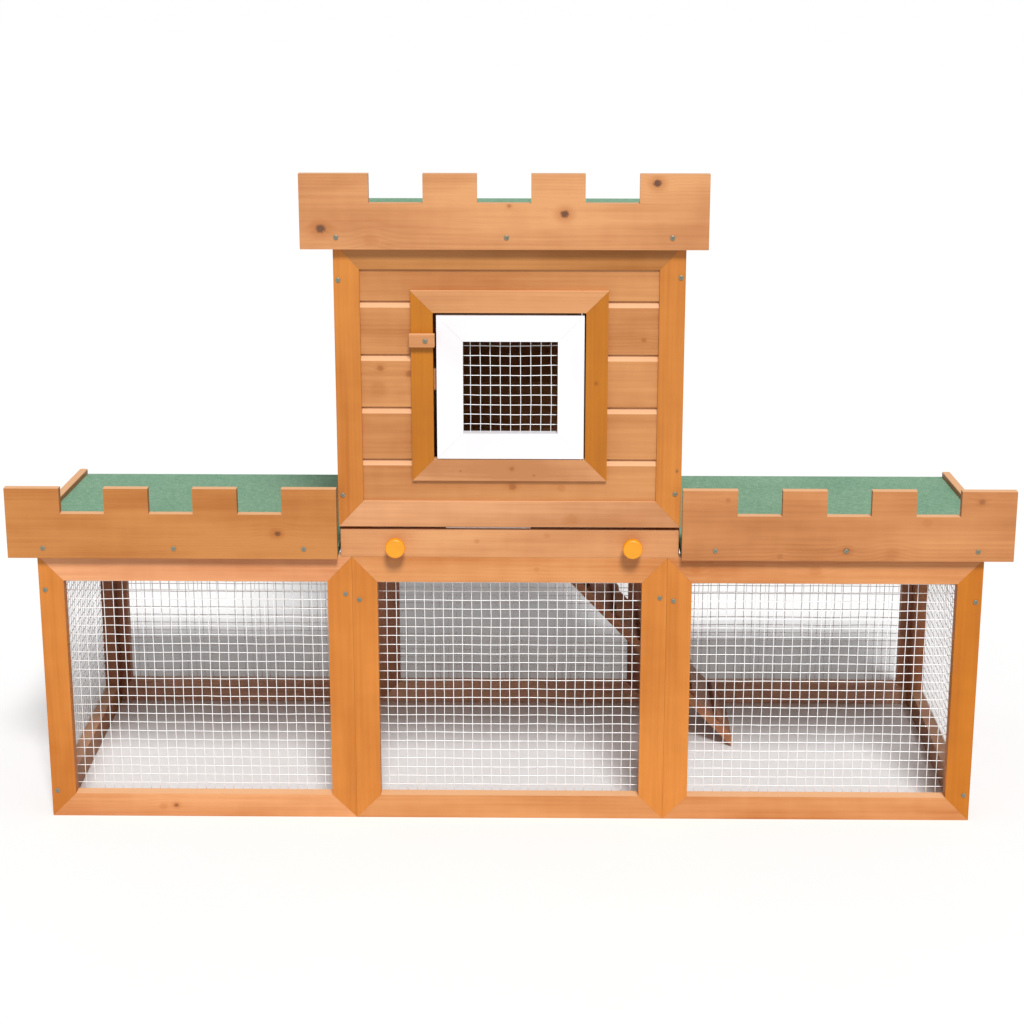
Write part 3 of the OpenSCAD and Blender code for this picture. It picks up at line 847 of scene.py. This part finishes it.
@dataclass
class WireMesh:
    """Welded wire mesh, in the place of one plain sheet of the frame.

    Attributes:
        node: The sheet that it replaces.
        body: The body that it rides on.
        pitch: The size of one square.
        wire: The wire's diameter.
        wander: How far the wires stray from straight.
        bend: The length of one such bend.
        lap: How far each layer lies off the sheet's middle, as a share of the wire's diameter.
    """

    node: str
    body: str
    pitch: float = 0.0127
    wire: float = 0.00105
    wander: float = 0.0018
    bend: float = 0.06
    lap: float = 0.47

    def strand(self, length: float, cells: int, turned: bool) -> Piece:
        """Models one straight wire with a ring of points at every crossing.

        Args:
            length: The wire's length.
            cells: How many squares it passes.
            turned: True for a wire that lies along x, False for an upright one.

        Returns:
            The wire, centred on the origin.
        """
        wire = start(bpy.ops.mesh.primitive_cylinder_add, "strand", vertices=6, radius=self.wire / 2,
                     depth=length)
        bpy.ops.object.mode_set(mode="EDIT")
        select_where(wire, Pick.EDGE, lambda a, b: abs(a.z - b.z) > length / 2)
        bpy.ops.mesh.subdivide(number_cuts=max(1, cells))
        bpy.ops.object.mode_set(mode="OBJECT")
        if turned:
            wire.rotation_euler = (0.0, math.pi / 2, 0.0)
        settle(wire)
        return wire

    def sheet(self, width: float, height: float) -> Piece:
        """Weaves the upright and level wires of a sheet in the x and z plane.

        Args:
            width: The sheet's width.
            height: The sheet's height.

        Returns:
            The sheet, with its lowest left corner at the origin.
        """
        columns = int(width / self.pitch)
        rows = int(height / self.pitch)
        upright = self.strand(height, rows, False)
        upright.location = ((width - columns * self.pitch) / 2, -self.wire * self.lap, height / 2)
        settle(upright)
        apply(upright, "ARRAY", count=columns + 1, use_relative_offset=False,
              use_constant_offset=True, constant_offset_displace=(self.pitch, 0.0, 0.0))
        level = self.strand(width, columns, True)
        level.location = (width / 2, self.wire * self.lap, (height - rows * self.pitch) / 2)
        settle(level)
        apply(level, "ARRAY", count=rows + 1, use_relative_offset=False,
              use_constant_offset=True, constant_offset_displace=(0.0, 0.0, self.pitch))
        return join([upright, level], self.node + "_wires")

    def build(self, material: Finish) -> None:
        """Models the mesh, bends it a little and puts it in the sheet's place.

        Args:
            material: The wire's finish.
        """
        low, high = (Vector(corner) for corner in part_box(self.node))
        size = high - low
        sideways = size.x < size.y
        wires = self.sheet(size.y if sideways else size.x, size.z)
        if sideways:
            wires.data.transform(Matrix.Rotation(math.pi / 2, 4, "Z"))
        middle = (low + high) / 2
        place = Vector((middle.x, low.y, low.z)) if sideways else Vector((low.x, middle.y, low.z))
        wires.data.transform(Matrix.Translation(place))
        self.trim_to_slope(wires, low, high)
        clouds = bpy.data.textures.new(self.node + "_wander", "CLOUDS")
        clouds.cloud_type = "COLOR"
        clouds.noise_scale = self.bend
        apply(wires, "DISPLACE", texture=clouds, texture_coords="GLOBAL", direction="RGB_TO_XYZ",
              strength=self.wander, mid_level=0.5)
        bpy.ops.object.shade_smooth()
        dress(wires, material)
        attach(wires, self.body)
        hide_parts(self.node)
        LOG.info("wove %s", wires.name)

    def trim_to_slope(self, wires: Piece, low: Vector, high: Vector) -> None:
        """Cuts the wires off along the sheet's top edge where that edge slopes.

        Args:
            wires: The woven sheet.
            low: The sheet's lowest corner.
            high: Its highest corner.
        """
        corners = [v.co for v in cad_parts[self.node].data.vertices]
        front = max(c.z for c in corners if c.y < low.y + CLOSE)
        rear = max(c.z for c in corners if c.y > high.y - CLOSE)
        if front - rear < 5 * CLOSE or high.y - low.y < 10 * CLOSE:
            return
        slope = Vector((0.0, front - rear, high.y - low.y)).normalized()
        bpy.context.view_layer.objects.active = wires
        bpy.ops.object.mode_set(mode="EDIT")
        bpy.ops.mesh.select_all(action="SELECT")
        bpy.ops.mesh.bisect(plane_co=(low.x, low.y, front), plane_no=slope, use_fill=True,
                            clear_outer=True)
        bpy.ops.object.mode_set(mode="OBJECT")


@dataclass
class Screws:
    """Cross-headed screws, in the places of the plain ones of a node.

    Attributes:
        node: The node that they replace.
        body: The body that they ride on.
        radius: The head's radius.
        rise: The head's height above the wood.
        dome: Each step of the dome: how much narrower it gets, and how far up as a share of the rise.
        cross: A slot's length and width as shares of the radius, and its depth as a share of the rise.
        shank: The shank's length as a share of the radius.
    """

    node: str
    body: str
    radius: float = 0.0032
    rise: float = 0.0011
    dome: tuple[tuple[float, float], ...] = ((0.82, 0.27), (0.72, 0.16), (0.6, 0.07))
    cross: Point = (1.05, 0.2, 1.3)
    shank: float = 2.5

    def head(self) -> Piece:
        """Models one domed head with a cross recess, looking along -z, with its seat at z = 0."""
        head = start(bpy.ops.mesh.primitive_cylinder_add, "head", vertices=24, radius=self.radius,
                     depth=self.rise * 0.5, location=(0, 0, -self.rise * 0.25))
        settle(head)
        bpy.ops.object.mode_set(mode="EDIT")
        select_where(head, Pick.FACE, lambda face: face.normal.z < -0.9)
        for scale, step in self.dome:
            push(-self.rise * step, scale)
        select_where(head, Pick.FACE, lambda face: face.normal.z > 0.9)
        bpy.ops.mesh.inset(thickness=self.radius * 0.5)
        push(self.radius * self.shank)
        bpy.ops.object.mode_set(mode="OBJECT")
        cutters = []
        for turn in (0.0, math.pi / 2):
            blade = start(bpy.ops.mesh.primitive_cube_add, "blade", size=1.0,
                          location=(0, 0, -self.rise), rotation=(0, 0, turn))
            length, width, depth = self.cross
            blade.scale = (self.radius * length, self.radius * width, self.rise * depth)
            settle(blade)
            cutters.append(blade)
        for blade in cutters:
            apply(head, "BOOLEAN", object=blade, operation="DIFFERENCE", solver="EXACT")
            bpy.data.objects.remove(blade)
        bpy.ops.object.select_all(action="DESELECT")
        head.select_set(True)
        bpy.context.view_layer.objects.active = head
        bpy.ops.object.shade_smooth_by_angle(angle=math.radians(35))
        return head

    def build(self, material: Finish) -> None:
        """Sets one screw at each place of the node, each turned its own way.

        Args:
            material: The screws' finish.
        """
        head = self.head()
        to_front = Matrix.Rotation(-math.pi / 2, 4, "X")
        made = []
        for index, (low, high) in enumerate(solids(self.node)):
            seat = Vector(((low.x + high.x) / 2, low.y + self.rise, (low.z + high.z) / 2))
            turn = Matrix.Rotation(index * 1.13, 4, "Z")
            made.append(copy_at(head, Matrix.Translation(seat) @ to_front @ turn))
        bpy.data.objects.remove(head)
        screws = join(made, self.node + "_detailed")
        dress(screws, material)
        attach(screws, self.body)
        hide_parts(self.node)
        LOG.info("set %d screws as %s", len(made), screws.name)


@dataclass
class Run:
    """The mesh run: six front and rear frames, two side frames and their wire.

    Attributes:
        bays: The bays from left to right.
        skew: The width of a bay's bottom and top rail, as a share of its uprights' width.
        tones: How light the members of each front frame are, by bay.
        rear_tones_painted_light: How light the members of a rear frame are; this is painted light, which
            lightens them, the bottom rail most, for light that reaches them under the roofs.
        side_tones: How light the members of a side frame are.
    """

    bays: tuple[str, ...] = ("left", "center", "right")
    skew: tuple[float, float] = (1.0, 35 / 33)
    tones: tuple[Four, ...] = (
        (1.0, 1.0, 0.93, 1.05), (1.0, 1.0, 0.83, 0.84), (1.0, 0.92, 0.86, 0.9))
    # Painted light: the rear frames are lightened, the bottom rail most, for light that reaches them
    # under the roofs.
    rear_tones_painted_light: Four = (1.2, 1.2, 1.45, 1.2)
    side_tones: Four = (1.0, 1.0, 0.86, 1.0)

    def dress(self) -> None:
        """Stains the frames and eases their edges."""
        knots = {
            "left": ((-0.457, 0.016, 0.0032, 0.75), (-0.475, 0.014, 0.005, 0.15)),
            "center": ((0.036, 0.358, 0.003, 0.1),),
            "right": ((0.247, 0.358, 0.006, 0.12), (0.405, 0.358, 0.007, 0.12)),
        }
        for seed, bay in enumerate(self.bays):
            front, rear = f"front_{bay}_frame", f"rear_{bay}_frame"
            shown = Timber(HONEY, Grain.MITRED_FRONT, knots[bay], seed=7.0 * seed, skew=self.skew,
                           tones=self.tones[seed])
            dress_node(front, shown.material(front))
            # The rear frames take the browner pine that is painted shade.
            hidden = Timber(UMBER_PAINTED_SHADE, Grain.MITRED_FRONT, seed=40.0 + 7.0 * seed, skew=self.skew,
                            tones=self.rear_tones_painted_light)
            dress_node(rear, hidden.material(rear))
        for seed, side in enumerate(("left", "right")):
            node = f"{side}_side_frame"
            # The side frames take the browner pine that is painted shade.
            slanted = Timber(UMBER_PAINTED_SHADE, Grain.MITRED_SIDE, seed=70.0 + 7.0 * seed, tones=self.side_tones)
            dress_node(node, slanted.material(node))
        for node in self.frames():
            ease_edges(node)

    def frames(self) -> list[str]:
        """The names of the eight frames."""
        fronts = [f"{face}_{bay}_frame" for face in ("front", "rear") for bay in self.bays]
        return fronts + ["left_side_frame", "right_side_frame"]

    def build(self) -> None:
        """Makes the wire of every frame."""
        material = BRIGHT_WIRE_PAINTED_SHEEN.material()
        for frame_name in self.frames():
            WireMesh(frame_name.replace("_frame", "_mesh"), "hutch").build(material)


@dataclass
class Tower:
    """The boarded tower: front frame, walls, posts, floor and the trim round its door.

    Attributes:
        joint: The height of one joint between boards.
        pitch: The height of one board.
        skew: The width of the front frame's rails, as a share of its uprights' width.
        board_tone: How light the boards are.
        frame_tones: How light the front frame's members are; the top rail's darker tone is painted shade,
            the shadow of the castle board above it.
        trim_tones: How light the members of the trim round the door are.
    """

    joint: float = 0.5085
    pitch: float = 0.070
    skew: tuple[float, float] = (35 / 33, 35 / 33)
    board_tone: float = 0.9
    # Painted shade: the top rail is darkened as if in the shadow of the castle board above it.
    frame_tones: Four = (1.0, 1.0, 1.0, 0.68)
    trim_tones: Four = (0.8, 0.8, 0.98, 0.88)

    def boards(self, grain: Grain, knots: tuple[Four, ...], seed: float) -> Timber:
        """The finish of one wall of boards."""
        return Timber(TAN, grain, knots, self.joint, self.pitch, seed, tones=(self.board_tone,))

    def dress(self) -> None:
        """Stains the tower's timber."""
        front_knots = ((0.004, 0.471, 0.005, 0.55), (-0.167, 0.630, 0.0042, 0.5),
                       (-0.129, 0.623, 0.005, 0.55), (-0.170, 0.603, 0.009, 0.14),
                       (-0.009, 0.684, 0.0018, 0.5), (0.049, 0.665, 0.002, 0.4),
                       (0.097, 0.668, 0.006, 0.14), (0.173, 0.668, 0.003, 0.4),
                       (0.068, 0.470, 0.005, 0.14))
        frame_knots = ((0.082, 0.428, 0.007, 0.24), (0.494, 0.219, 0.002, 0.75))
        trim_knots = ((0.003, 0.497, 0.0032, 0.6), (-0.064, 0.494, 0.0016, 0.5),
                      (0.032, 0.488, 0.0016, 0.5), (0.612, 0.112, 0.0026, 0.5))
        table = {
            "tower_front_frame": Timber(TRIM, Grain.MITRED_FRONT, frame_knots, seed=11.0,
                                        skew=self.skew, tones=self.frame_tones),
            "tower_front_boards": self.boards(Grain.ALONG_X, front_knots, 17.0),
            "tower_rear_boards": self.boards(Grain.ALONG_X, ((0.11, 0.61, 0.005, 0.9),
                                                             (-0.13, 0.69, 0.004, 0.7)), 29.0),
            "tower_left_boards": self.boards(Grain.ALONG_Y, ((0.02, 0.62, 0.005, 0.9),
                                                             (0.12, 0.46, 0.004, 0.6)), 43.0),
            "tower_right_boards": self.boards(Grain.ALONG_Y, ((-0.05, 0.68, 0.005, 0.8),
                                                              (0.1, 0.54, 0.004, 0.9)), 57.0),
            "door_trim": Timber(TRIM, Grain.MITRED_FRONT, trim_knots, seed=5.0, tones=self.trim_tones),
            "door_stop": Timber(TAN, Grain.ALONG_Z, seed=3.0),
            # The floor, bearer, posts and tray guides take the darker pine that is painted shade.
            "floor_bearer": Timber(PAINTED_SHADE_PINE, Grain.ALONG_X, seed=61.0),
            "tower_floor": Timber(PAINTED_SHADE_PINE, Grain.ALONG_X, seed=67.0),
            "tower_posts": Timber(PAINTED_SHADE_PINE, Grain.ALONG_Z, seed=71.0),
            "tray_guides": Timber(PAINTED_SHADE_PINE, Grain.ALONG_Y, seed=73.0),
            "turn_button": Timber(TAN, Grain.ALONG_X, seed=2.0),
        }
        for node, timber in table.items():
            dress_node(node, timber.material(node))
            ease_edges(node, 0.0007)


@dataclass
class Door:
    """The white mesh door."""

    def dress(self) -> None:
        """Paints the door's frame."""
        dress_node("door_frame", WhitePaint().material())
        ease_edges("door_frame", 0.0011)

    def build(self) -> None:
        """Makes the door's wire."""
        WireMesh("door_mesh", "tower_door", pitch=0.0131, wander=0.0024).build(BRIGHT_WIRE_PAINTED_SHEEN.material())


@dataclass
class Tray:
    """The pull-out tray: wooden front, two knobs and a folded metal pan.

    Attributes:
        sheet: The thickness of the pan's metal.
        corner: The radius of the pan's folds.
        lip: How far the pan's rim turns outwards.
        bow: The stretch of the rim that bows out over the wooden front, as a box.
        slim: The knobs' width as a share of the room they have.
        neck: The width of a knob's neck as a share of the same.
        stem: The length of its neck as a share of the knob's.
        turning: Each step of a knob's outline: how far on, as a share of its length, and how wide.
    """

    sheet: float = 0.0008
    corner: float = 0.004
    lip: float = 0.0028
    bow: Box = ((-0.084, -0.2168, 0.4133), (0.028, -0.2090, 0.4150))
    slim: float = 0.95
    neck: float = 0.55
    stem: float = 0.3
    turning: tuple[tuple[float, float], ...] = (
        (0.06, 0.95), (0.08, 1.75), (0.14, 1.16), (0.26, 1.02), (0.12, 0.985), (0.05, 0.93), (0.02, 0.90),
        (-0.015, 0.9), (-0.012, 0.6))

    def dress(self) -> None:
        """Stains the tray's front."""
        knots = ((-0.043, 0.397, 0.003, 0.2), (0.05, 0.405, 0.004, 0.15))
        dress_node("tray_front", Timber(TAN, Grain.ALONG_X, knots, seed=83.0).material("tray_front"))
        ease_edges("tray_front", 0.0012)

    def build(self) -> None:
        """Models the knobs and the pan."""
        self.knobs(YELLOW_LACQUER.material())
        # The pan's zinc is near-white with little metal: partly pale zinc and partly painted light, which
        # keeps its rim bright where the rail above shades it.
        self.pan(Zinc("pan_zinc_painted_light", 0.95, (1.03, 1.0, 0.99), 0.15).material())

    def knobs(self, material: Finish) -> None:
        """Turns one knob and sets a copy at each place.

        Args:
            material: The knobs' finish.
        """
        places = solids("tray_knobs")
        low, high = places[0]
        radius = (high.x - low.x) / 2
        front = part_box("tray_front")[0][1]
        reach = front - low.y
        stem = reach * self.stem
        knob = start(bpy.ops.mesh.primitive_cylinder_add, "knob", vertices=48,
                     radius=radius * self.neck, depth=stem, location=(0, 0, stem / 2))
        settle(knob)
        bpy.ops.object.mode_set(mode="EDIT")
        select_where(knob, Pick.FACE, lambda face: face.normal.z > 0.9)
        for step, scale in self.turning:
            push(reach * step, scale)
        bpy.ops.object.mode_set(mode="OBJECT")
        widest = max(v.co.x for v in knob.data.vertices)
        tallest = max(v.co.z for v in knob.data.vertices)
        slim = self.slim * radius / widest
        knob.data.transform(Matrix.Diagonal((slim, slim, reach / tallest, 1.0)))
        apply(knob, "SUBSURF", levels=2, render_levels=2)
        bpy.ops.object.shade_smooth()
        made = []
        for low, high in places:
            middle = Vector(((low.x + high.x) / 2, front, (low.z + high.z) / 2))
            made.append(copy_at(knob, Matrix.Translation(middle) @ Matrix.Rotation(math.pi / 2, 4, "X")))
        bpy.data.objects.remove(knob)
        knobs = join(made, "turned_knobs")
        dress(knobs, material)
        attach(knobs, "tray")
        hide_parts("tray_knobs")

    def bowed_rim(self) -> Piece:
        """Models the stretch of the pan's rim that bows out over the front."""
        rim = block("bowed_rim", *(Vector(corner) for corner in self.bow))
        apply(rim, "BEVEL", width=self.sheet * 0.5, segments=3, limit_method="ANGLE")
        return rim

    def pan(self, material: Finish) -> None:
        """Folds the pan from a box with an open top, rounded folds and a turned rim.

        Args:
            material: The pan's finish.
        """
        low, high = (Vector(corner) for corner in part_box("tray_pan"))
        size = high - low
        pan = block("folded_pan", low, high)
        bpy.ops.object.mode_set(mode="EDIT")
        select_where(pan, Pick.FACE, lambda face: face.normal.z > 0.9)
        bpy.ops.mesh.delete(type="FACE")
        select_where(pan, Pick.EDGE, lambda a, b: (a.z + b.z) / 2 < high.z - CLOSE)
        bpy.ops.mesh.bevel(offset=self.corner, segments=4, profile=0.5, affect="EDGES")
        select_where(pan, Pick.EDGE, lambda a, b: min(a.z, b.z) > high.z - CLOSE / 2)
        middle = (low + high) / 2
        bpy.ops.mesh.extrude_edges_move(TRANSFORM_OT_translate={"value": (0, 0, 0)})
        wider = (1 + 2 * self.lip / size.x, 1 + 2 * self.lip / size.y, 1.0)
        bpy.ops.transform.resize(value=wider, center_override=middle)
        bpy.ops.mesh.extrude_edges_move(TRANSFORM_OT_translate={"value": (0, 0, -self.sheet * 1.4)})
        bpy.ops.object.mode_set(mode="OBJECT")
        apply(pan, "SOLIDIFY", thickness=self.sheet, offset=-1.0)
        apply(pan, "BEVEL", width=self.sheet * 0.25, segments=1, limit_method="ANGLE")
        pan = join([pan, self.bowed_rim()], "folded_pan")
        bpy.ops.object.shade_smooth_by_angle(angle=math.radians(40))
        dress(pan, material)
        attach(pan, "tray")
        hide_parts("tray_pan")


@dataclass
class Roof:
    """One felted roof with its castle board.

    Attributes:
        name: left, right or tower.
        stain: The stain of its timber.
        strips: The node of its end strips.
        knots: The knots in its castle board.
        seed: Sets its grain apart.
        tone: How light the castle board is.
    """

    name: str
    stain: Stain
    strips: str
    knots: tuple[Four, ...]
    seed: float
    tone: float = 1.0

    def dress(self, felt: Finish) -> None:
        """Stains the timber and lays the felt's finish.

        Args:
            felt: The felt's finish.
        """
        fascia = f"{self.name}_roof_fascia"
        panel = f"{self.name}_roof_panel"
        board = Timber(self.stain, Grain.ALONG_X, self.knots, seed=self.seed, tones=(self.tone,))
        dress_node(fascia, board.material(fascia))
        # The panel takes the darker pine that is painted shade.
        dress_node(panel, Timber(PAINTED_SHADE_PINE, Grain.ALONG_Y, seed=self.seed + 5).material(panel))
        strip = Timber(self.stain, Grain.ALONG_Y, seed=self.seed + 9)
        dress_node(self.strips, strip.material(self.strips))
        dress_node(f"{self.name}_roof_felt", felt)
        ease_edges(fascia, 0.0012)
        ease_edges(self.strips, 0.0016, 3)


@dataclass
class Ramp:
    """The cleated ramp from the tower to the ground."""

    def dress(self) -> None:
        """Stains the ramp in the darker pine that is painted shade."""
        for seed, node in enumerate(("ramp_board", "ramp_cleats")):
            grain = Grain.ALONG_X if node == "ramp_board" else Grain.ALONG_Y
            dress_node(node, Timber(PAINTED_SHADE_PINE, grain, seed=91.0 + seed).material(node))
            ease_edges(node, 0.001)


@dataclass
class Hardware:
    """Hinges, pins and screws."""

    def build(self) -> None:
        """Plates the hinges and sets the screws."""
        plate = Zinc().material()
        roofs = ("left_roof", "right_roof", "tower_roof")
        for node in ("fixed_hinge_leaves", "hinge_pins", "door_pivot_pins", "ramp_hinge_leaves",
                     *(f"{roof}_hinge_leaves" for roof in roofs)):
            dress_node(node, plate)
        heads = Zinc("screw_zinc", 0.25, (1.06, 1.0, 0.72), 0.45).material()
        for node, body in (("frame_screws", "hutch"), ("turn_button_screw", "hutch"),
                           *((f"{roof}_screws", roof) for roof in roofs)):
            Screws(node, body).build(heads)


@dataclass
class Studio:
    """The pale floor, the soft light and the camera.

    Attributes:
        eye: The camera's place, measured from the middle of the hutch on the ground.
        pitch: How far the camera looks down, in degrees.
        yaw: How far it looks to the right, in degrees.
        lens: Its focal length on a 36 mm sensor.
        sun_strength: The key light's strength.
        sun_towards: The direction from the hutch to the key light.
        sun_spread: The key light's width as seen from the hutch, in degrees.
        sky: The strength of the light from all round.
        floor_size: The floor's width and depth.
        floor_drop: How far the floor lies under the hutch's feet.
    """

    eye: Point = (0.041, -3.0573, 1.2861)
    pitch: float = 16.66
    yaw: float = -0.761
    lens: float = 79.1
    sun_strength: float = 3.6
    sun_towards: Point = (0.13, -0.88, 1.0)
    sun_spread: float = 15.0
    sky: float = 0.4
    floor_size: float = 90.0
    floor_drop: float = 0.0002

    def floor(self) -> None:
        """Lays a wide pale floor."""
        ground = start(bpy.ops.mesh.primitive_plane_add, "floor", size=self.floor_size,
                       location=(0, 0, -self.floor_drop))
        dress(ground, PALE_FLOOR.material())

    def lights(self) -> None:
        """Hangs a soft key light and fills the sky."""
        light = bpy.data.lights.new("key", "SUN")
        light.energy = self.sun_strength
        light.angle = math.radians(self.sun_spread)
        key = bpy.data.objects.new("key", light)
        key.rotation_euler = Vector(self.sun_towards).to_track_quat("Z", "Y").to_euler()
        bpy.context.scene.collection.objects.link(key)
        world = bpy.data.worlds.new("sky")
        world.use_nodes = True
        background = world.node_tree.nodes["Background"]
        background.inputs[0].default_value = (1.0, 1.0, 1.0, 1.0)
        background.inputs[1].default_value = self.sky
        bpy.context.scene.world = world
        bpy.context.scene.view_settings.view_transform = "Standard"

    def camera(self) -> None:
        """Sets the camera."""
        data = bpy.data.cameras.new("camera")
        data.lens = self.lens
        data.clip_end = 200.0
        camera = bpy.data.objects.new("camera", data)
        camera.location = self.eye
        camera.rotation_euler = (math.radians(90.0 - self.pitch), 0.0, math.radians(-self.yaw))
        bpy.context.scene.collection.objects.link(camera)
        bpy.context.scene.camera = camera


def main() -> None:
    """Builds and dresses every sub-assembly, in order."""
    logging.basicConfig(level=logging.INFO, format="%(name)s: %(message)s")
    studio = Studio()
    studio.camera()
    studio.lights()
    studio.floor()
    run, tower, door, tray = Run(), Tower(), Door(), Tray()
    for part in (run, tower, door, tray, Ramp()):
        part.dress()
        LOG.info("dressed %s", type(part).__name__)
    felt = MineralFelt().material()
    roofs = (
        Roof("left", RUSSET, "left_roof_strip",
             ((-0.305, 0.410, 0.0040, 0.9), (-0.307, 0.410, 0.0075, 0.2)), 101.0, 0.89),
        Roof("right", RUSSET, "right_roof_strip",
             ((0.443, 0.3895, 0.0042, 1.0), (0.617, 0.457, 0.0044, 0.6), (0.286, 0.458, 0.003, 0.3),
              (0.503, 0.385, 0.008, 0.12), (0.356, 0.381, 0.0035, 0.3),
              (0.547, 0.428, 0.006, 0.12)), 113.0, 1.04),
        Roof("tower", TAN, "tower_roof_strips",
             ((-0.2385, 0.814, 0.0066, 1.0), (0.070, 0.833, 0.0056, 1.0), (0.186, 0.872, 0.0054, 1.0),
              (0.0, 0.843, 0.0026, 0.5), (-0.175, 0.800, 0.008, 0.12)), 127.0),
    )
    for roof in roofs:
        roof.dress(felt)
    for part in (run, door, tray, Hardware()):
        part.build()
        LOG.info("built %s", type(part).__name__)


if __name__ == "__main__":
    main()
